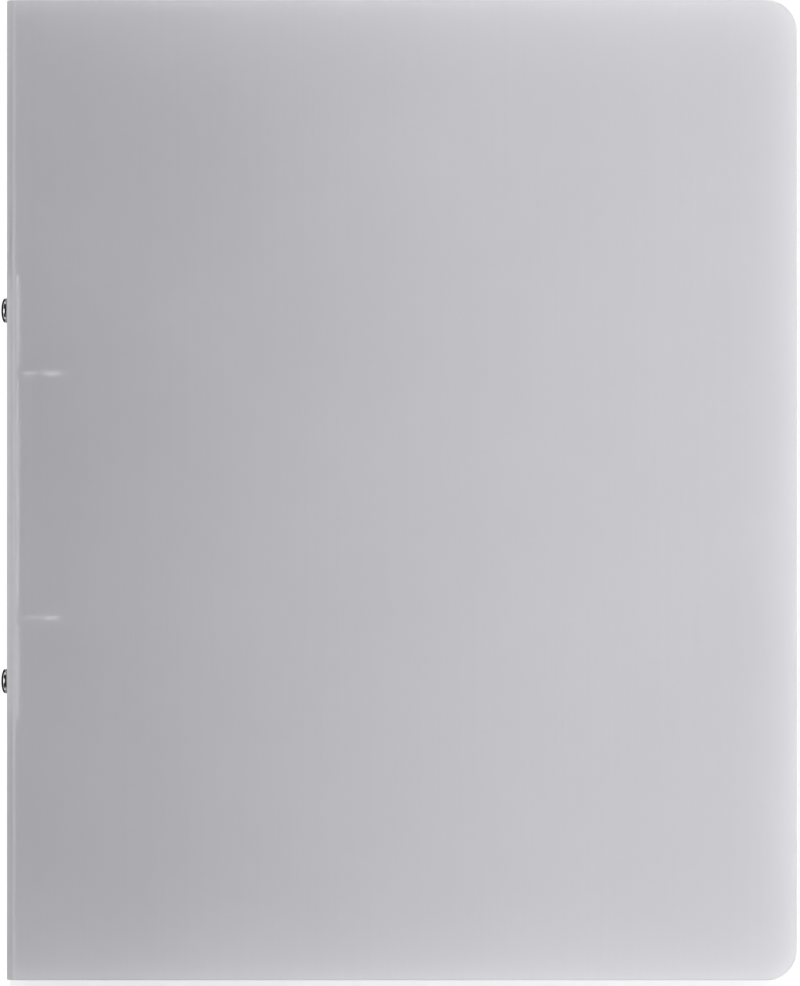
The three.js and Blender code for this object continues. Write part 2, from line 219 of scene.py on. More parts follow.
def rays_that_see(tree):
    """One for camera, mirror and see-through rays, and zero for the rays that carry light."""
    rays = add_node(tree, "ShaderNodeLightPath")
    straight = arithmetic(tree, "MAXIMUM", rays.outputs["Is Camera Ray"], rays.outputs["Is Glossy Ray"])
    return arithmetic(tree, "MAXIMUM", straight, rays.outputs["Is Transmission Ray"])


def remap(tree, value, low, high, to_low, to_high, smooth=False):
    """A value carried from one range to another, clamped at both ends."""
    made = add_node(tree, "ShaderNodeMapRange", Value=value, From_Min=low, From_Max=high,
                    To_Min=to_low, To_Max=to_high)
    made.interpolation_type = "SMOOTHSTEP" if smooth else "LINEAR"
    return made.outputs["Result"]


# %% [markdown]
# ## The floor
# The floor is a pale grey that catches the binder's shadow, and it is lifted to white wherever it is seen.
# The lift is a glow that only camera, mirror and see-through rays meet, so it lights nothing. It grows
# towards the floor's far parts, which the softbox doesn't reach, and in the shade beside the spine. Metal and
# the frosted sheet see it come in softly from the binder's outline, because the floor under the binder lies
# in its shadow.

# %% A level square for the stage
def stage_plane(name, size, height, centre_x=0.0):
    """A level square, which belongs to the stage, and its material's nodes."""
    mesh = bpy.data.meshes.new(name)
    s = size / 2
    corners = [(centre_x - s, -s), (centre_x + s, -s), (centre_x + s, s), (centre_x - s, s)]
    mesh.from_pydata([(x, y, height) for x, y in corners], [], [(0, 1, 2, 3)])
    obj = bpy.data.objects.new(name, mesh)
    bpy.context.scene.collection.objects.link(obj)
    material = bpy.data.materials.new(name)
    material.use_nodes = True
    material.node_tree.nodes.remove(material.node_tree.nodes["Principled BSDF"])
    mesh.materials.append(material)
    obj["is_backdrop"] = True
    return obj, material.node_tree


# %% Floor and the places on it
FLOOR_SIZE = 24.0                       # metres, as all sizes of the stage
FLOOR_GREY = (0.55, 0.55, 0.55, 1)

floor, tree = stage_plane("floor", FLOOR_SIZE, 0.0)
diffuse = add_node(tree, "ShaderNodeBsdfDiffuse", Color=FLOOR_GREY)
place = add_node(tree, "ShaderNodeTexCoord").outputs["Object"]
place = add_node(tree, "ShaderNodeSeparateXYZ", Vector=place)
x, y = place.outputs["X"], place.outputs["Y"]
up = arithmetic(tree, "ABSOLUTE", y)


def distance(first, second):
    """The length of the line from zero to a pair of values."""
    squares = [arithmetic(tree, "POWER", value, 2.0) for value in (first, second)]
    return arithmetic(tree, "SQRT", arithmetic(tree, "ADD", *squares))


def past(value, start):
    """How far a value lies past a start in millimetres, and 0 before it."""
    return arithmetic(tree, "MAXIMUM", arithmetic(tree, "SUBTRACT", value, start * MM), 0.0)


print("floor:", floor.name, FLOOR_SIZE, "m wide")

# %% How much each ray sees of the lift
NEAR_LIFT, FAR_LIFT = 0.28, 0.77
LIFT_START, LIFT_END = 0.25, 1.3        # metres from the middle, between which the lift grows
OUTLINE_ROUND = 10                      # millimetres, of the corners of the binder's outline
OUTLINE_REACH = 70                      # past the outline, metal and the sheet see the whole lift

lifted = remap(tree, distance(x, y), LIFT_START, LIFT_END, NEAR_LIFT, FAR_LIFT, smooth=True)
aside = arithmetic(tree, "MAXIMUM", past(x, FREE_EDGE - OUTLINE_ROUND),
                   past(arithmetic(tree, "MULTIPLY", x, -1.0), -SPINE_OUTER - OUTLINE_ROUND))
corner = distance(aside, past(up, HALF_HEIGHT - OUTLINE_ROUND))
softly = remap(tree, corner, OUTLINE_ROUND * MM, (OUTLINE_ROUND + OUTLINE_REACH) * MM, 0, 1)
camera_ray = add_node(tree, "ShaderNodeLightPath").outputs["Is Camera Ray"]
seen = arithmetic(tree, "MAXIMUM", arithmetic(tree, "MULTIPLY", softly, rays_that_see(tree)), camera_ray)
print("lift, near and far:", NEAR_LIFT, FAR_LIFT)

# %% More lift in the spine's shade
SHADE_LIFT = 0.44
SHADE_REACH, SHADE_FULL = 32, 3         # millimetres from the spine, where it starts and where it is whole
SHADE_END = 12                          # past the spine's ends, it has faded out
EDGE_INSIDE, EDGE_OUTSIDE = 0.4, 0.8    # of the spine's outer face, between which it stops

beside_spine = remap(tree, x, (SPINE_OUTER + EDGE_INSIDE) * MM, (SPINE_OUTER - EDGE_OUTSIDE) * MM, 0, 1)
shade = remap(tree, x, (SPINE_OUTER - SHADE_REACH) * MM, (SPINE_OUTER - SHADE_FULL) * MM, 0, SHADE_LIFT)
along = remap(tree, up, HALF_HEIGHT * MM, (HALF_HEIGHT + SHADE_END) * MM, 1, 0, smooth=True)
shade = arithmetic(tree, "MULTIPLY", arithmetic(tree, "MULTIPLY", shade, along), beside_spine)

amount = arithmetic(tree, "MULTIPLY", arithmetic(tree, "ADD", lifted, shade), seen)
lift = add_node(tree, "ShaderNodeEmission", Strength=amount)
both = add_node(tree, "ShaderNodeAddShader")
tree.links.new(diffuse.outputs["BSDF"], both.inputs[0])
tree.links.new(lift.outputs["Emission"], both.inputs[1])
tree.links.new(both.outputs["Shader"], tree.nodes["Material Output"].inputs["Surface"])
print("shade beside the spine, mm:", SHADE_REACH)

# %% [markdown]
# ## The wall and the flags
# A white wall stands far away all round and closes the view above the floor without lighting anything. Three
# dark flags are seen in the metal: one hangs overhead and one stands to the left for the dark parts of the
# room, and a small one lies on the floor beside the spine as a painted shadow, where the binder's shade falls.
# Only mirror reflections see them, so they neither light nor shade anything, and they give the bright caps
# their dark outline.

# %% Far wall
WALL_RADIUS, WALL_HEIGHT, WALL_SIDES = 11.0, 9.0, 96


def circle(steps):
    """Evenly spaced angles round a turn."""
    return np.linspace(0, 2 * np.pi, steps, endpoint=False)


turn = circle(WALL_SIDES)
ring = np.stack([WALL_RADIUS * np.cos(turn), WALL_RADIUS * np.sin(turn)], axis=-1)
rings = np.concatenate([np.column_stack([ring, np.full(WALL_SIDES, z)]) for z in (0.0, WALL_HEIGHT)])
first = np.arange(WALL_SIDES)
after = np.roll(first, -1)
quads = np.stack([after, first, first + WALL_SIDES, after + WALL_SIDES], axis=-1)
wall, tree = stage_plane("wall", 1.0, 0.0)
wall.data.clear_geometry()
wall.data.from_pydata(rings, [], quads.tolist())
glow = add_node(tree, "ShaderNodeEmission", Strength=1.0)
tree.links.new(glow.outputs["Emission"], tree.nodes["Material Output"].inputs["Surface"])
wall.visible_diffuse = False
wall.visible_shadow = False
print("wall, m:", WALL_RADIUS, "away and", WALL_HEIGHT, "high")

# %% Dark flags
FLAG_GREY = (0.01, 0.01, 0.01, 1)
FLAG_SIZE = 7.0
OVERHEAD_PLACE, OVERHEAD_HEIGHT = -1.2, 1.7
SIDE_PLACE, SIDE_GAP = -1.6, 0.06       # it leaves a gap above the floor
# The small flag: a painted shadow on the floor beside the spine, where the binder's shade falls.
PAINTED_SHADOW_PLACE, PAINTED_SHADOW_HEIGHT = -0.152, 0.001
PAINTED_SHADOW_LENGTH, PAINTED_SHADOW_WIDTH = 0.4, 0.04


def dark_flag(name, size, height, centre_x=0.0):
    """A dark square that only mirror reflections see."""
    flag, tree = stage_plane(name, size, height, centre_x)
    dark = add_node(tree, "ShaderNodeBsdfDiffuse", Color=FLAG_GREY)
    tree.links.new(dark.outputs["BSDF"], tree.nodes["Material Output"].inputs["Surface"])
    flag.visible_camera = False
    flag.visible_diffuse = False
    flag.visible_transmission = False
    flag.visible_shadow = False
    return flag


overhead = dark_flag("overhead_flag", FLAG_SIZE, OVERHEAD_HEIGHT, centre_x=OVERHEAD_PLACE)
upright = dark_flag("side_flag", FLAG_SIZE, 0.0)
upright.rotation_euler = (0, np.radians(90), 0)
upright.location = (SIDE_PLACE, 0, SIDE_GAP + FLAG_SIZE / 2)
# A painted shadow: a dark strip on the floor beside the spine that only the caps' mirror reflections see.
low = dark_flag("painted_shadow_flag", PAINTED_SHADOW_LENGTH, PAINTED_SHADOW_HEIGHT)
low.scale = (PAINTED_SHADOW_WIDTH / PAINTED_SHADOW_LENGTH, 1, 1)
low.location = (PAINTED_SHADOW_PLACE, 0, 0)
print("flags:", overhead.name, upright.name, low.name)

# %% [markdown]
# ## Materials
# Every finish is worked out by nodes. The sheet is extruded polypropylene: light passes into it and is
# scattered by its frosted faces, its tone drifts a little over a hand's breadth, faint lines run the way it
# was extruded, and the folded creases turn paler where the plastic was stretched. Scattering inside a volume
# would be truer but slow, and rough transmission through a thin solid gives the same milky look. The pattern
# reads a place on the flat blank, kept in each mesh, so that it follows the sheet round a fold and doesn't
# slide when the binder opens. The steel parts share one recipe with their own colours and roughness, but the
# housing's copy of the nickel is paler than the plate, and that extra brightness is painted light.

# %% A plain start for every finish
def principled(name, colour, roughness, metallic=0.0):
    """A new material and its Principled shader, with the values that are the same all over."""
    material = bpy.data.materials.new(name)
    material.use_nodes = True
    shader = material.node_tree.nodes["Principled BSDF"]
    shader.inputs["Base Color"].default_value = (*colour, 1)
    shader.inputs["Roughness"].default_value = roughness
    shader.inputs["Metallic"].default_value = metallic
    return material, shader


def noise(tree, place, scale, detail=2.0, stretch=None):
    """A Noise texture's value at a place in metres, stretched along the axes if asked."""
    if stretch is not None:
        place = add_node(tree, "ShaderNodeMapping", Vector=place, Scale=stretch).outputs["Vector"]
    made = add_node(tree, "ShaderNodeTexNoise", Vector=place, Scale=scale, Detail=detail)
    return made.outputs["Fac"]


def mixed_colour(tree, factor, first, second):
    """Two colours, or colour sockets, mixed by a factor."""
    made = add_node(tree, "ShaderNodeMix", data_type="RGBA")
    tree.links.new(factor, made.inputs["Factor"])
    for socket, value in zip((made.inputs[6], made.inputs[7]), (first, second)):
        if isinstance(value, bpy.types.NodeSocket):
            tree.links.new(value, socket)
        else:
            socket.default_value = (*value, 1)
    return made.outputs[2]


# %% Frosted sheet
FROST_COLOUR = (0.77, 0.764, 0.795)
FROST_PALE = (0.90, 0.90, 0.92)
FROST_SHADE = 0.965                     # of the colour, where the sheet is darkest
FROST_ROUGHNESS = 0.36
FROST_CLEARNESS = 0.81
FROST_IOR = 1.49
DRIFT_SHARE, LINES_SHARE = 0.7, 0.3     # of the tone
DRIFT_SCALE, GRAIN_SCALE = 14, 3200
LINES_STRETCH = (900, 9, 900)           # long along the spine, the way the sheet was extruded
SPINE_CREASE_RUN = spine_crease[1] - MIDDLE
STRIP_WIDTH = np.hypot(*(cover_crease - spine_crease))
COVER_CREASE_RUN = SPINE_CREASE_RUN + STRIP_WIDTH
CREASE_PALENESS = ((SPINE_CREASE_RUN, 1.0), (COVER_CREASE_RUN, 0.05))
CREASE_CORE, CREASE_EDGE = 0.1, 1.0     # from a crease, its paleness is whole and gone
print("creases from the spine's middle, mm:", round(SPINE_CREASE_RUN, 2), round(COVER_CREASE_RUN, 2))


def frosted_sheet():
    """Scattering plastic with a drifting tone, extrusion lines, pale creases and a fine grain."""
    material, shader = principled("frosted_sheet", FROST_COLOUR, FROST_ROUGHNESS)
    shader.inputs["Transmission Weight"].default_value = FROST_CLEARNESS
    shader.inputs["IOR"].default_value = FROST_IOR
    tree = material.node_tree
    blank = add_node(tree, "ShaderNodeAttribute", attribute_name="blank").outputs["Vector"]
    drift = noise(tree, blank, DRIFT_SCALE, 3)
    lines = noise(tree, blank, 1, 2, LINES_STRETCH)
    tone = arithmetic(tree, "ADD", arithmetic(tree, "MULTIPLY", drift, DRIFT_SHARE),
                      arithmetic(tree, "MULTIPLY", lines, LINES_SHARE))
    shade = tuple(FROST_SHADE * c for c in FROST_COLOUR)
    body = mixed_colour(tree, remap(tree, tone, 0.35, 0.65, 0, 1), shade, FROST_COLOUR)

    run = add_node(tree, "ShaderNodeSeparateXYZ", Vector=blank).outputs["X"]
    run = arithmetic(tree, "ABSOLUTE", run)
    creased = 0.0
    for crease, paleness in CREASE_PALENESS:
        away = arithmetic(tree, "ABSOLUTE", arithmetic(tree, "SUBTRACT", run, crease * MM))
        here = remap(tree, away, CREASE_CORE * MM, CREASE_EDGE * MM, paleness, 0, smooth=True)
        creased = arithmetic(tree, "MAXIMUM", creased, here)
    worn = arithmetic(tree, "MULTIPLY", creased, remap(tree, lines, 0.3, 0.7, 0.35, 0.6))
    tree.links.new(mixed_colour(tree, worn, body, FROST_PALE), shader.inputs["Base Color"])
    tree.links.new(remap(tree, worn, 0, 1, FROST_CLEARNESS, 0), shader.inputs["Transmission Weight"])

    matt = remap(tree, tone, 0.3, 0.7, FROST_ROUGHNESS - 0.03, FROST_ROUGHNESS + 0.03)
    tree.links.new(matt, shader.inputs["Roughness"])
    grain = noise(tree, blank, GRAIN_SCALE, 2)
    height = arithmetic(tree, "ADD", grain, arithmetic(tree, "MULTIPLY", lines, 0.5))
    bump = add_node(tree, "ShaderNodeBump", Strength=0.12, Distance=0.02 * MM, Height=height)
    tree.links.new(bump.outputs["Normal"], shader.inputs["Normal"])
    return material


# %% Plated steel
SCRATCH_STRETCH = (5200, 160, 5200)     # fine across the spine and long along it
PLATE_GRAIN_SCALE = 2600


def plated_steel(name, colour, dull, roughness, cloud_scale, scratch):
    """Metal whose plating clouds and dulls in patches, with fine scratches along the spine."""
    material, shader = principled(name, colour, roughness, 1.0)
    tree = material.node_tree
    place = add_node(tree, "ShaderNodeTexCoord").outputs["Object"]
    cloud = noise(tree, place, cloud_scale, 3)
    tree.links.new(mixed_colour(tree, remap(tree, cloud, 0.35, 0.68, 0, 1), colour, dull),
                   shader.inputs["Base Color"])
    drawn = noise(tree, place, 1, 2, SCRATCH_STRETCH)
    patchy = arithmetic(tree, "ADD", remap(tree, cloud, 0.3, 0.7, -0.03, 0.06),
                        remap(tree, drawn, 0.35, 0.65, -0.02, 0.04))
    tree.links.new(arithmetic(tree, "ADD", patchy, roughness), shader.inputs["Roughness"])
    fine = noise(tree, place, PLATE_GRAIN_SCALE, 2)
    height = arithmetic(tree, "ADD", drawn, arithmetic(tree, "MULTIPLY", fine, 0.6))
    bump = add_node(tree, "ShaderNodeBump", Strength=scratch, Distance=0.01 * MM, Height=height)
    tree.links.new(bump.outputs["Normal"], shader.inputs["Normal"])
    return material


finishes = {
    "frosted_sheet": frosted_sheet(),
    "nickel_plate": plated_steel("nickel_plate", colour=(0.60, 0.585, 0.56), dull=(0.52, 0.505, 0.48),
                                 roughness=0.14, cloud_scale=180, scratch=0.10),
    "zinc_plate": plated_steel("zinc_plate", colour=(0.62, 0.63, 0.65), dull=(0.50, 0.51, 0.53),
                               roughness=0.38, cloud_scale=420, scratch=0.25),
}
# A satin copy of the nickel plate for the housing: its roughness is a satin finish, and its paler colour is
# painted light, for the light that reaches the housing through the sheet.
satin_nickel_painted_light = plated_steel("satin_nickel_painted_light", colour=(0.79, 0.785, 0.775), dull=(0.73, 0.725, 0.71),
                            roughness=0.30, cloud_scale=120, scratch=0.14)
print("finishes:", sorted(finishes), "and", satin_nickel_painted_light.name)

# %% [markdown]
# ## Finishes for the model's own solids
# The carrier plates and the posts lie inside the mechanism, and there the model's own solids are shown. Every
# node gets the finish of its slot, because the slots' names and the finishes' names are the same.

# %% Give each node its finish
for part in frame["record"]["subparts"]:
    node = frame["nodes"][part["node"]]
    node.data.materials.clear()
    node.data.materials.append(finishes[part["material_slot"]])

# %% [markdown]
# ## Surfaces as grids of points
# Each new piece is a grid of points worked out at once with numpy. Its rows are closed rings, each ring is
# joined to the next by a band of quads, and the first and last rings are closed by one face or joined to each
# other. The enclosed volume's sign says whether the faces point out, so mirrored pieces come out right too.

# %% Faces between rings
def ring_faces(count, around, loop):
    """Quads between neighbouring rings, as point numbers. With loop, the last ring meets the first."""
    index = np.arange(count * around).reshape(count, around)
    ahead = np.roll(index, -1, axis=1)
    last = count if loop else count - 1
    after = np.roll(np.arange(count), -1)[:last]
    return np.stack([index[:last], ahead[:last], ahead[after], index[after]], axis=-1).reshape(-1, 4)


def volume_sign(points, quads):
    """The sign of the volume inside quads: a third of each quad's area vector dotted with its middle."""
    corner = points[quads]
    area = np.cross(corner[:, 2] - corner[:, 0], corner[:, 3] - corner[:, 1]) / 2
    return np.sign(np.einsum("ij,ij->", area, corner.mean(axis=1)))


# %% From a grid to a piece
SMOOTH_BELOW = np.radians(40)           # edges that turn by more than this stay sharp


def mesh_piece(name, points, faces):
    """An object at the origin from points in millimetres, with smooth faces and sharp edges."""
    mesh = bpy.data.meshes.new(name)
    mesh.from_pydata(points * MM, [], faces)
    mesh.validate()
    mesh.shade_smooth()
    mesh.set_sharp_from_angle(angle=SMOOTH_BELOW)
    piece = bpy.data.objects.new(name, mesh)
    bpy.context.scene.collection.objects.link(piece)
    return piece


def lofted(name, rings, loop=False):
    """A closed piece through rings, an array of rings by points by X, Y and Z."""
    count, around = rings.shape[:2]
    middle = rings.reshape(-1, 3).mean(axis=0)
    quads = ring_faces(count, around, loop)
    if volume_sign(rings.reshape(-1, 3) - middle, quads) < 0:
        rings = rings[:, ::-1]
    faces = quads.tolist()
    if not loop:
        faces.append(list(range(around))[::-1])
        faces.append(list(range((count - 1) * around, count * around)))
    return mesh_piece(name, rings.reshape(-1, 3), faces)


# %% What every piece ends with
def finish_piece(piece, slot_name, *nodes, finish=None):
    """Give a piece its finish, by its slot's name or as given, and hide the model's nodes that it stands for."""
    piece.data.materials.clear()
    piece.data.materials.append(finish or finishes[slot_name])
    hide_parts(*nodes)
    print(f"{piece.name}: {len(piece.data.polygons)} faces")
    return piece


def settled(piece):
    """The piece with its modifiers made part of its mesh."""
    graph = bpy.context.evaluated_depsgraph_get()
    mesh = bpy.data.meshes.new_from_object(piece.evaluated_get(graph))
    mesh.set_sharp_from_angle(angle=SMOOTH_BELOW)
    piece.modifiers.clear()
    piece.data = mesh
    return piece


# %% [markdown]
# ## The sheet
# The real cover is one blank of 0.8 mm sheet, pressed with four creases that let it fold. A crease isn't a
# gap: the sheet runs round it in a small arc and is thinned there from inside. A flat box could be bent by a
# modifier, but a formula is surer: one gives the whole sheet's line in cross-section, from the spine's middle
# to the free edge, and each panel is a piece of it, so that neighbours meet. A panel keeps the bend at its
# end.

# %% The sheet's line
BEND_REACH = 0.8                        # of a bend, to each side of its crease
FOLD = np.radians(45)                   # of each crease, when the binder is closed
BEND_RADIUS = BEND_REACH / np.tan(FOLD / 2)
GROOVE = 0.4                            # how much thinner the sheet is in a crease
GROOVE_SHARE = 0.75                     # of a bend, which its groove takes up
EDGE_ROUND = 0.15
EDGE_STEPS = 3
HOLD = 0.4                              # a line of points this far inside an edge keeps the face flat
BEND_STEPS = 14


def direction(heading):
    """The way the sheet runs, in X and Z, by its angle from +Z towards +X."""
    return np.stack([np.sin(heading), np.cos(heading)], axis=-1)


def outward(heading):
    """The sheet's outer side, in X and Z, by the same angle."""
    return np.stack([-np.cos(heading), np.sin(heading)], axis=-1)


def bent_share(run, crease):
    """How much of a bend lies behind each run: 0 before it and 1 after it."""
    return np.clip((run - crease + BEND_REACH) / (2 * BEND_REACH), 0, 1)


def sheet_line(run):
    """Points and outer sides of the sheet's middle surface, at runs measured from the spine's middle.
    It is a straight spine, an arc, a straight strip, an arc and a straight cover, and an arc's point is its
    first point plus the radius times the change of the outer side."""
    first = FOLD * bent_share(run, SPINE_CREASE_RUN)
    second = FOLD * bent_share(run, COVER_CREASE_RUN)
    spine = np.clip(run, -HALF_HEIGHT, SPINE_CREASE_RUN - BEND_REACH)
    strip_start = SPINE_CREASE_RUN + BEND_REACH
    strip = np.clip(run, strip_start, COVER_CREASE_RUN - BEND_REACH) - strip_start
    cover = np.maximum(run - COVER_CREASE_RUN - BEND_REACH, 0)
    points = (np.array([SPINE_MIDDLE, 0.0])
              + spine[:, None] * direction(0.0)
              + BEND_RADIUS * (outward(first) - outward(0.0))
              + strip[:, None] * direction(FOLD)
              + BEND_RADIUS * (outward(FOLD + second) - outward(FOLD))
              + cover[:, None] * direction(2 * FOLD))
    return points, outward(first + second)


def groove(run):
    """How much the inner face gives way: a cosine squared over the middle three quarters of each bend."""
    depth = 0.0
    for crease in (SPINE_CREASE_RUN, COVER_CREASE_RUN):
        across = np.clip((run - crease) / (GROOVE_SHARE * BEND_REACH), -1, 1)
        depth = depth + GROOVE * np.cos(across * np.pi / 2) ** 2
    return depth


print("bend radius, mm:", round(BEND_RADIUS, 3))

# %% A stretch of the sheet
def section_template():
    """A rounded rectangle as signs and shares, corner by corner, with a held line beside each corner. A
    corner's shares are a quarter turn's cosine along the sheet's width and its sine across the sheet."""
    turn = np.linspace(0, np.pi / 2, EDGE_STEPS + 1)
    along = np.append(np.cos(turn), -HOLD / EDGE_ROUND)
    across = np.append(np.sin(turn), 1.0)
    signs = [(1, 1), (-1, 1), (-1, -1), (1, -1)]
    rows = [np.stack([np.full_like(along, a), np.full_like(along, b), along, across]) for a, b in signs]
    rows = [row if i % 2 == 0 else row[:, ::-1] for i, row in enumerate(rows)]
    return np.concatenate(rows, axis=1)


def keep_blank(piece, blank):
    """Write each point's place on the flat blank, in metres, to the mesh."""
    places = piece.data.attributes.new("blank", "FLOAT_VECTOR", "POINT")
    places.data.foreach_set("vector", np.ascontiguousarray(blank * MM, dtype=np.float32).ravel())


def sheet_stretch(name, run, half_height, side, thinned=0.0):
    """A piece of the sheet between the first and last runs. Each station's section is a rounded rectangle
    across the sheet: its width is twice half_height, its faces lie half the sheet from the middle surface,
    and the inner face gives way in a groove. The mesh keeps each point's place on the flat blank."""
    y_sign, face_sign, y_share, face_share = section_template()
    centre, normal = sheet_line(run)
    thinned = np.broadcast_to(thinned, run.shape)
    width = y_sign * (half_height[:, None] - EDGE_ROUND + EDGE_ROUND * y_share)
    outer, inner = SHEET / 2 - thinned, groove(run) + thinned - SHEET / 2
    face = np.where(face_sign > 0, outer[:, None], inner[:, None])
    offset = face - face_sign * EDGE_ROUND * (1 - face_share)
    place = centre[:, None, :] + offset[..., None] * normal[:, None, :]
    rings = np.stack([place[..., 0], width, MIDDLE + side * place[..., 1]], axis=-1)
    blank = np.stack([np.broadcast_to(side * run[:, None], width.shape), width, offset], axis=-1)
    piece = lofted(name, rings)
    if not np.allclose(np.array(piece.data.vertices[0].co) / MM, rings[0, 0], atol=1e-3):
        blank = blank[:, ::-1]
    keep_blank(piece, blank.reshape(-1, 3))
    return piece


def bend_runs(crease):
    """Stations round a bend."""
    return crease + np.linspace(-BEND_REACH, BEND_REACH, BEND_STEPS + 1)


print("points round a section:", section_template().shape[1])

# %% The cover's shape at its free edge
CORNER_RADIUS = 10
CORNER_STEPS = 24
WHOLE_RUN = COVER_CREASE_RUN + FREE_EDGE - cover_crease[0]


def edge_loss(inside):
    """What the rounded free edge takes off each face, at distances inside the edge."""
    return EDGE_ROUND - np.sqrt(EDGE_ROUND**2 - np.clip(EDGE_ROUND - inside, 0, None) ** 2)


def cover_half_height(inside):
    """Half the cover's height, at distances inside the free edge: a round corner, then the full height."""
    short = np.clip(CORNER_RADIUS - inside, 0, None)
    return HALF_HEIGHT - CORNER_RADIUS + np.sqrt(CORNER_RADIUS**2 - short**2)


print("sheet from the spine's middle to the free edge, mm:", round(WHOLE_RUN, 2))


def cover(name, side):
    """A cover from its free edge to the far end of its bend."""
    turn = np.linspace(0, np.pi / 2, CORNER_STEPS + 1)
    inside = CORNER_RADIUS * (1 - np.cos(turn))
    rounding = EDGE_ROUND * (1 - np.cos(np.linspace(0, np.pi / 2, EDGE_STEPS + 1)))
    inside = np.unique(np.round(np.concatenate([inside, rounding]), 4))
    bend = bend_runs(COVER_CREASE_RUN)
    run = np.concatenate([bend, [bend[-1] + HOLD], (WHOLE_RUN - inside)[::-1]])
    edge = WHOLE_RUN - run
    return sheet_stretch(name, run, cover_half_height(edge), side, edge_loss(edge))


def bend_across(piece):
    """Bake the piece's place into its mesh."""
    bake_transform(piece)


SIDES = (("front", 1), ("back", -1))
for word, side in SIDES:
    piece = finish_piece(cover(f"{word}_cover_sheet", side), "frosted_sheet", f"{word}_cover")
    bend_across(piece)

# %% Strips with their bends
for word, side in SIDES:
    bend = bend_runs(SPINE_CREASE_RUN)
    seam = COVER_CREASE_RUN - BEND_REACH
    run = np.concatenate([bend, [bend[-1] + HOLD / 2, seam]])
    strip = sheet_stretch(f"{word}_strip_sheet", run, np.full_like(run, HALF_HEIGHT), side)
    finish_piece(strip, "frosted_sheet", f"{word}_crease_strip")
    bend_across(strip)

# %% Turned shapes and rivet holes
HOLE_RADIUS = 1.75
HOLE_STEPS = 48
DRILL_BEYOND = 1


def turned(name, profile, y, loop=False, steps=64):
    """A turned piece about a line along X: each point of the profile is a radius and an X, and becomes a
    ring round the line through the mechanism's middle plane at y."""
    angle = circle(steps)
    radius, x = profile[:, :1], profile[:, 1:]
    rings = np.stack([np.broadcast_to(x, (len(profile), steps)), y + radius * np.sin(angle),
                      MIDDLE + radius * np.cos(angle)], axis=-1)
    return lofted(name, rings, loop)


def pierce(piece, radius, x_range):
    """Cut a round hole through the piece at each rivet."""
    for place in PLACES:
        drill = turned("drill", np.array([[radius, x_range[0]], [radius, x_range[1]]]), rivet_y[place],
                       steps=HOLE_STEPS)
        hole = piece.modifiers.new("hole", "BOOLEAN")
        hole.operation = "DIFFERENCE"
        hole.object = drill
        settled(piece)
        bpy.data.objects.remove(drill)
    return piece


print("rivet holes, mm:", 2 * HOLE_RADIUS)

# %% Spine panel
half = SPINE_CREASE_RUN - BEND_REACH
run = np.array([-half, -half + HOLD, half - HOLD, half])
spine = sheet_stretch("spine_sheet", run, np.full_like(run, HALF_HEIGHT), 1)
pierce(spine, HOLE_RADIUS, (SPINE_OUTER - DRILL_BEYOND, SPINE_INNER + DRILL_BEYOND))
spine.data.attributes.remove(spine.data.attributes["blank"])
points = np.empty(len(spine.data.vertices) * 3)
spine.data.vertices.foreach_get("co", points)
x, y, z = points.reshape(-1, 3).T / MM
keep_blank(spine, np.stack([z - MIDDLE, y, SPINE_MIDDLE - x], axis=-1))
finish_piece(spine, "frosted_sheet", "spine_panel")
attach(spine, "spine")

# %% [markdown]
# ## The housing
# The mechanism's housing is one strip of sprung steel, rolled into a low arch whose lips hold the carrier
# plates. Its outline could be extruded, but the strip's middle surface, a grid of a cross-section by stations
# along the spine, keeps one thickness everywhere. The faces in the ring slots are left out, and then Solidify
# gives the strip its thickness and Bevel breaks the stamped edges. At both ends the crown flares away from
# the spine.

# %% The housing's cross-section
HOUSING_WALL = 0.5
CROWN_FLAT = 3.4                        # half the width of the crown's flat
LIP_RADIUS = 0.9
LIP_REACH = 0.3
FLARE_HEIGHT, FLARE_LENGTH = 1.0, 4.0
WIRE_RADIUS = 1.2
SLOT_INNER_SIDE = 3.22
SLOT_GAP = 0.75                         # from the wire to the slot's edge, along the spine
SLOT_HALF = WIRE_RADIUS + SLOT_GAP
SLOT_FLOOR = 0.3                        # below the hinge line
SHOULDER_STEPS, LIP_STEPS, FLARE_STEPS = 18, 12, 8
EVEN_STATIONS, EVEN_FROM_END = 12, 10   # between the ends, the first this far from an end

housing_low, housing_high = node_box("mechanism_housing")
CROWN = housing_high[0] - SPINE_INNER - FLARE_HEIGHT
crown_middle = CROWN - HOUSING_WALL / 2


def housing_half():
    """The front half's cross-section as shares: how far each point follows the crown, and its height and
    side without it. A flat, a quarter ellipse to the hinge's height, a quarter circle and a short lip."""
    flat = np.array([0.0, CROWN_FLAT / 2, SLOT_INNER_SIDE, CROWN_FLAT])
    a = np.linspace(0, np.pi / 2, SHOULDER_STEPS + 1)[1:]
    slot_turn = np.arcsin(SLOT_FLOOR / LIP_RADIUS)
    b = np.unique(np.append(np.linspace(0, np.pi / 2, LIP_STEPS + 1)[1:], slot_turn))
    wall = HINGE_SIDE + LIP_RADIUS
    follow = np.concatenate([np.ones(len(flat)), np.cos(a), np.zeros(len(b) + 1)])
    height = np.concatenate([np.zeros(len(flat) + len(a)), -LIP_RADIUS * np.sin(b), [-LIP_RADIUS]])
    out = np.concatenate([flat, CROWN_FLAT + (wall - CROWN_FLAT) * np.sin(a),
                          HINGE_SIDE + LIP_RADIUS * np.cos(b), [HINGE_SIDE - LIP_REACH]])
    return follow, height, out


# %% The housing's stations along the spine
def housing_stations():
    """Places along the spine: close together in the flared ends and at the slots' edges."""
    flare = FLARE_LENGTH * np.linspace(0, 1, FLARE_STEPS + 1)
    beside = (-SLOT_HALF, -SLOT_HALF - 1, SLOT_HALF, SLOT_HALF + 1)
    slots = [y + edge for y in ring_y.values() for edge in beside]
    even = np.linspace(housing_low[1] + EVEN_FROM_END, housing_high[1] - EVEN_FROM_END, EVEN_STATIONS)
    return np.unique(np.concatenate([housing_low[1] + flare, housing_high[1] - flare, slots, even]))


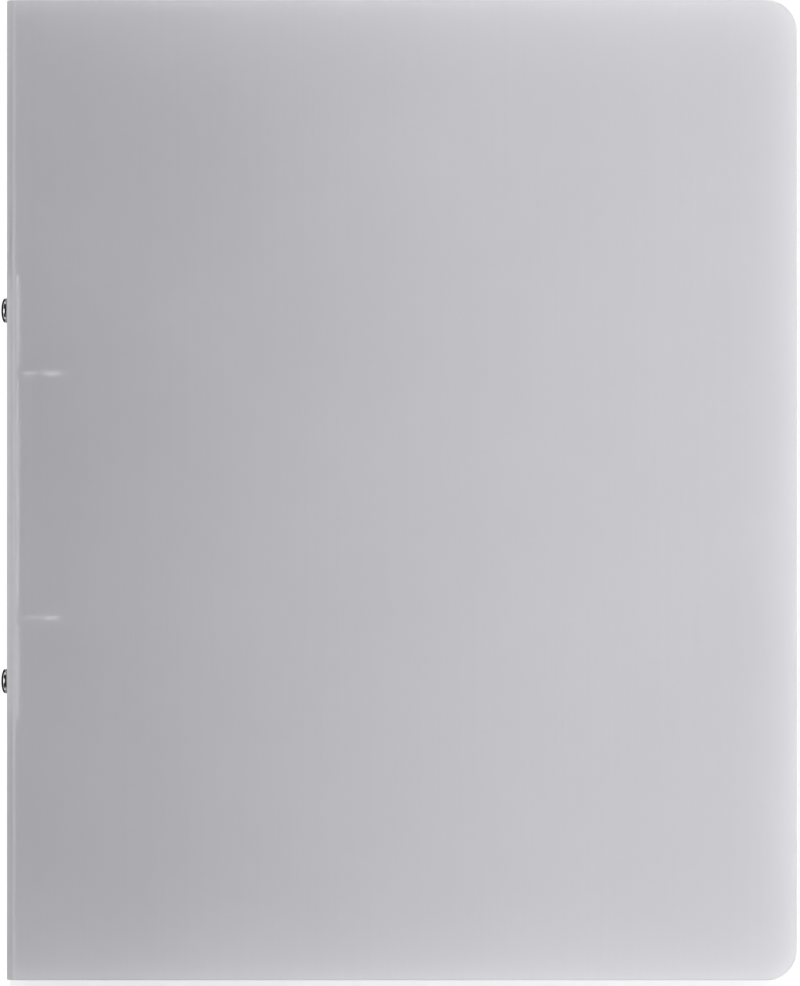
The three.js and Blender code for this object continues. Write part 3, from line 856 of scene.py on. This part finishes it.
# %% The housing's grid
follow, height, out = housing_half()
follow, height = (np.concatenate([v[:0:-1], v]) for v in (follow, height))
out = np.concatenate([-out[:0:-1], out])
stations = housing_stations()
from_end = np.minimum(stations - housing_low[1], housing_high[1] - stations)
lifted = FLARE_HEIGHT * np.clip(1 - from_end / FLARE_LENGTH, 0, 1) ** 2
rise = (crown_middle + lifted - HINGE_HEIGHT)[:, None] * follow + height
grid = np.stack([SPINE_INNER + HINGE_HEIGHT + rise, np.broadcast_to(stations[:, None], rise.shape),
                 np.broadcast_to(MIDDLE + out, rise.shape)], axis=-1)
print("stations by points:", rise.shape)

# %% Leave out the ring slots
columns = len(out)
index = np.arange(len(stations) * columns).reshape(len(stations), columns)
quads = np.stack([index[:-1, :-1], index[:-1, 1:], index[1:, 1:], index[1:, :-1]], axis=-1)
mid_y = (stations[:-1] + stations[1:]) / 2
mid_out = np.abs(out[:-1] + out[1:]) / 2
mid_rise = (rise[1, :-1] + rise[1, 1:]) / 2     # below the hinge line, every station has the same
in_row = np.any([np.abs(mid_y - y) < SLOT_HALF for y in ring_y.values()], axis=0)
in_column = (mid_out > SLOT_INNER_SIDE) & (mid_rise > -SLOT_FLOOR)
kept = quads[~(in_row[:, None] & in_column[None, :])]
print("faces left:", len(kept), "of", quads.shape[0] * quads.shape[1])

# %% Thickness, rivet holes and broken edges
EDGE_BREAK = 0.07
housing = mesh_piece("housing_shell", grid.reshape(-1, 3), kept.tolist())
wall = housing.modifiers.new("wall", "SOLIDIFY")
wall.thickness = HOUSING_WALL * MM
wall.offset = 0
wall.use_even_offset = True
settled(housing)
crown_face = SPINE_INNER + CROWN
pierce(housing, HOLE_RADIUS, (crown_face - 2 * HOUSING_WALL, crown_face + HOUSING_WALL))
edges = housing.modifiers.new("edges", "BEVEL")
edges.width = EDGE_BREAK * MM
edges.segments = 2
edges.limit_method = "ANGLE"
edges.angle_limit = np.radians(45)
settled(housing)
# The housing takes the paler copy of the nickel plate, whose extra brightness is painted light.
finish_piece(housing, "nickel_plate", "mechanism_housing", finish=satin_nickel_painted_light)
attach(housing, "spine")

# %% [markdown]
# ## The rings
# A ring is two bent lengths of plated wire that meet in the binder's middle plane. The front tip carries a
# small pin and the rear tip the hole for it. A curve with a round bevel would give the wire but not its
# steps, so each half is a tube along its middle line, whose radius steps in at the pin, or turns back into
# the hole, and narrows at the far end to a foot riveted in the carrier.

# %% The rings' sizes and the two tips
RING_INNER_RADIUS = 8
RING_SINK = 0.6                         # of the ring's inner side below the crown
RING_CENTRE = CROWN + RING_INNER_RADIUS - RING_SINK
WIRE_CIRCLE = RING_INNER_RADIUS + WIRE_RADIUS
TIP_GAP = 0.15                          # from the middle plane to each tip
TIP_CHAMFER = 0.18
PIN_RADIUS, PIN_LENGTH, PIN_CLEARANCE = 0.5, 1.1, 0.2
FOOT_RADIUS, FOOT_HEAD_RADIUS, FOOT_HEAD_HEIGHT = 0.7, 1.0, 0.3
FOOT_SIDE = HINGE_SIDE - 1.5            # the foot stands inside the hinge line
WIRE_END_HEIGHT = HINGE_HEIGHT + 1.505  # the arc stops here, and the neck runs on
NECK_HEIGHT = HINGE_HEIGHT + 0.35       # to here, where the foot begins
POLE_RADIUS = 0.12                      # of the ring of points that closes a tip
ARC_STEPS, NECK_STEPS, EDGE_TURN_STEPS = 72, 8, 4
WIRE_AROUND = 32
foot_end = node_box("upper_front_ring_half")[0][0] - SPINE_INNER


def pin_tip():
    """A pin's stations, from its rounded end to the wire: where along the tip's axis, and the radius."""
    return np.array([[-PIN_LENGTH, POLE_RADIUS], [-PIN_LENGTH, 0.3], [-PIN_LENGTH + 0.06, 0.42],
                     [-PIN_LENGTH + 0.18, PIN_RADIUS], [TIP_GAP - 0.06, PIN_RADIUS],
                     [TIP_GAP, PIN_RADIUS + 0.06], [TIP_GAP, WIRE_RADIUS - TIP_CHAMFER]])


def socket_tip():
    """The hole's stations, from its bottom outwards."""
    radius = PIN_RADIUS + PIN_CLEARANCE
    depth = PIN_LENGTH + PIN_CLEARANCE
    return np.array([[depth, POLE_RADIUS], [depth, radius - 0.1], [depth - 0.1, radius],
                     [TIP_GAP + 0.1, radius], [TIP_GAP, radius + 0.1], [TIP_GAP, WIRE_RADIUS - TIP_CHAMFER]])


# %% The wire's line
def wire_line():
    """The wire's centres, headings and radii: the tip's rounded edge, a circle's arc, and a quick turn down
    into the foot with its peened head. A heading is the angle at which the wire runs."""
    edge = np.linspace(0, np.pi / 2, EDGE_TURN_STEPS + 1)[1:]
    start = np.arcsin((TIP_GAP + TIP_CHAMFER) / WIRE_CIRCLE)
    finish = np.pi - np.arccos((RING_CENTRE - WIRE_END_HEIGHT) / WIRE_CIRCLE)
    tip_angle = (TIP_GAP + TIP_CHAMFER * (1 - np.cos(edge))) / WIRE_CIRCLE
    arc = np.concatenate([tip_angle[:-1], np.linspace(start, finish, ARC_STEPS + 1)])
    centre = np.stack([RING_CENTRE + WIRE_CIRCLE * np.cos(arc), WIRE_CIRCLE * np.sin(arc)], axis=-1)
    radius = np.full(len(arc), WIRE_RADIUS)
    radius[:len(edge)] = WIRE_RADIUS - TIP_CHAMFER * (1 - np.sin(edge))
    heading = arc + np.pi / 2

    t = np.linspace(0, 1, NECK_STEPS + 1)[1:]
    ease = t * t * (3 - 2 * t)
    neck = np.stack([centre[-1, 0] + (NECK_HEIGHT - centre[-1, 0]) * t,
                     centre[-1, 1] + (FOOT_SIDE - centre[-1, 1]) * ease], axis=-1)
    neck_radius = FOOT_RADIUS + (WIRE_RADIUS - FOOT_RADIUS) * np.sqrt(np.clip(1 - t**3, 0, 1))
    neck_heading = heading[-1] + (np.pi - heading[-1]) * np.sqrt(t)
    head_top = foot_end + FOOT_HEAD_HEIGHT
    foot = np.array([[head_top, FOOT_SIDE], [head_top, FOOT_SIDE], [foot_end + 0.12, FOOT_SIDE],
                     [foot_end, FOOT_SIDE]])
    foot_radius = np.array([FOOT_RADIUS, FOOT_HEAD_RADIUS - 0.05, FOOT_HEAD_RADIUS, FOOT_HEAD_RADIUS - 0.3])
    foot_heading = np.full(len(foot), np.pi)
    return (np.concatenate([centre, neck, foot]), np.concatenate([heading, neck_heading, foot_heading]),
            np.concatenate([radius, neck_radius, foot_radius]))


print("ring centre above the spine, mm:", round(RING_CENTRE, 3))


# %% Ring halves
def ring_half(name, y, side, tip):
    """A tube whose stations are circles across the wire's heading, in the plane of the ring."""
    centre, heading, radius = wire_line()
    top = RING_CENTRE + WIRE_CIRCLE
    centre = np.concatenate([np.stack([np.full(len(tip), top), tip[:, 0]], axis=-1), centre])
    heading = np.concatenate([np.full(len(tip), np.pi / 2), heading])
    radius = np.concatenate([tip[:, 1], radius])
    angle = circle(WIRE_AROUND)
    across = radius[:, None] * np.cos(angle)
    height = centre[:, :1] + across * np.sin(heading)[:, None]
    out = centre[:, 1:] - across * np.cos(heading)[:, None]
    along = y + radius[:, None] * np.sin(angle)
    rings = np.stack([SPINE_INNER + height, along, MIDDLE + side * out], axis=-1)
    return lofted(name, rings)


for place in PLACES:
    for word, side, body, tip in (("front", 1, "front_carrier", pin_tip()),
                                  ("rear", -1, "rear_carrier", socket_tip())):
        wire = ring_half(f"{place}_{word}_ring_wire", ring_y[place], side, tip)
        finish_piece(wire, "nickel_plate", f"{place}_{word}_ring_half")
        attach(wire, body)

# %% [markdown]
# ## Rivets and caps
# Each end of the mechanism is held by a hollow rivet. Its flange lies outside the spine under a bright domed
# cap, which is crimped round it, and its far end is rolled over on the housing's crown. All are turned
# shapes. The Screw modifier could turn them, but rings of points worked out from a profile of radii and
# heights need no seam to be merged.

# %% Rivets
SHANK_RADIUS, SHANK_BORE = 1.6, 1.0
ROLL_RADIUS, ROLL_HEIGHT = 2.7, 0.5
CAP_WALL, FLANGE_GAP, FLANGE_THICKNESS = 0.3, 0.1, 0.35
FLANGE_INSIDE = 0.5                     # from the flange's rim out to the cap's wall
RIM_POINTS, ROLL_POINTS = 9, 25
cap_low, cap_high = node_box("upper_rivet_cap")
CAP_RADIUS = (cap_high[1] - cap_low[1]) / 2


def rivet_profile():
    """A flange with round edges, a straight shank, and a half ellipse where the end is rolled over."""
    near = SPINE_OUTER - CAP_WALL - FLANGE_GAP
    far = near - FLANGE_THICKNESS
    flange = CAP_RADIUS - CAP_WALL - FLANGE_INSIDE
    crown = SPINE_INNER + CROWN
    round_edge = np.linspace(-np.pi / 2, np.pi / 2, RIM_POINTS)
    half_thick = FLANGE_THICKNESS / 2
    rim = np.stack([flange - half_thick + half_thick * np.cos(round_edge),
                    (near + far) / 2 + half_thick * np.sin(round_edge)], axis=-1)
    roll_angle = np.linspace(0, np.pi, ROLL_POINTS)
    roll = np.stack([(ROLL_RADIUS + SHANK_BORE) / 2 + (ROLL_RADIUS - SHANK_BORE) / 2 * np.cos(roll_angle),
                     crown + ROLL_HEIGHT * np.sin(roll_angle)], axis=-1)
    shank = np.array([[SHANK_RADIUS, near], [SHANK_RADIUS, crown]])
    return np.concatenate([[[SHANK_BORE, far]], rim, shank, roll])


for place in PLACES:
    rivet = turned(f"{place}_hollow_rivet", rivet_profile(), rivet_y[place], loop=True)
    finish_piece(rivet, "zinc_plate", f"{place}_rivet")
    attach(rivet, "spine")

# %% Caps
CAP_HEIGHT = SPINE_OUTER - cap_low[0]
CAP_RIM_HEIGHT, CAP_CURL_HEIGHT = 1.0, 0.35
CAP_SEAT_RADIUS = 2.8
CAP_HOLE_GAP, CAP_HOLE_EDGE = 0.3, 0.05
CAP_POLE_TURN = 0.02                    # radians from the axis, where the dome's pole is closed
CAP_DOME_STEPS, CAP_CURL_STEPS, CAP_AROUND = 28, 14, 96


def cap_shell(wall):
    """The cap's outline, or its inner one a wall inside: a quarter ellipse from the pole to the widest ring,
    a short straight wall, and a second quarter ellipse that curls in to the seat."""
    widest = CAP_RADIUS - wall
    a = np.linspace(CAP_POLE_TURN, np.pi / 2, CAP_DOME_STEPS + 1)
    dome = CAP_HEIGHT - CAP_RIM_HEIGHT - wall
    upper = np.stack([widest * np.sin(a), SPINE_OUTER - CAP_RIM_HEIGHT - dome * np.cos(a)], axis=-1)
    b = np.linspace(0, np.pi / 2, CAP_CURL_STEPS + 1)[1:]
    curl = widest - CAP_SEAT_RADIUS
    bottom = SPINE_OUTER - wall
    straight = np.array([[widest, bottom - CAP_CURL_HEIGHT]])
    lower = np.stack([CAP_SEAT_RADIUS + curl * np.cos(b),
                      bottom - CAP_CURL_HEIGHT * (1 - np.sin(b))], axis=-1)
    return np.concatenate([upper, straight, lower])


def cap_profile():
    """Outer shell, the edge of the hole for the shank, and the inner shell back to the pole."""
    hole = SHANK_RADIUS + CAP_HOLE_GAP
    broken = CAP_HOLE_EDGE
    edge = np.array([[hole + broken, SPINE_OUTER], [hole, SPINE_OUTER - broken],
                     [hole, SPINE_OUTER - CAP_WALL + broken], [hole + broken, SPINE_OUTER - CAP_WALL]])
    return np.concatenate([cap_shell(0), edge, cap_shell(CAP_WALL)[::-1]])


for place in PLACES:
    cap = turned(f"{place}_domed_cap", cap_profile(), rivet_y[place], steps=CAP_AROUND)
    finish_piece(cap, "nickel_plate", f"{place}_rivet_cap")
    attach(cap, "spine")

# %% [markdown]
# ## Sizes
# The dressed binder stays inside the model's box, because the real pieces are no larger than their solids.
# The dressed box is written down.

# %% Write the sizes and finish
low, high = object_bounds()
print("dressed box, mm:", [round(v / MM, 2) for v in (*low, *high)])
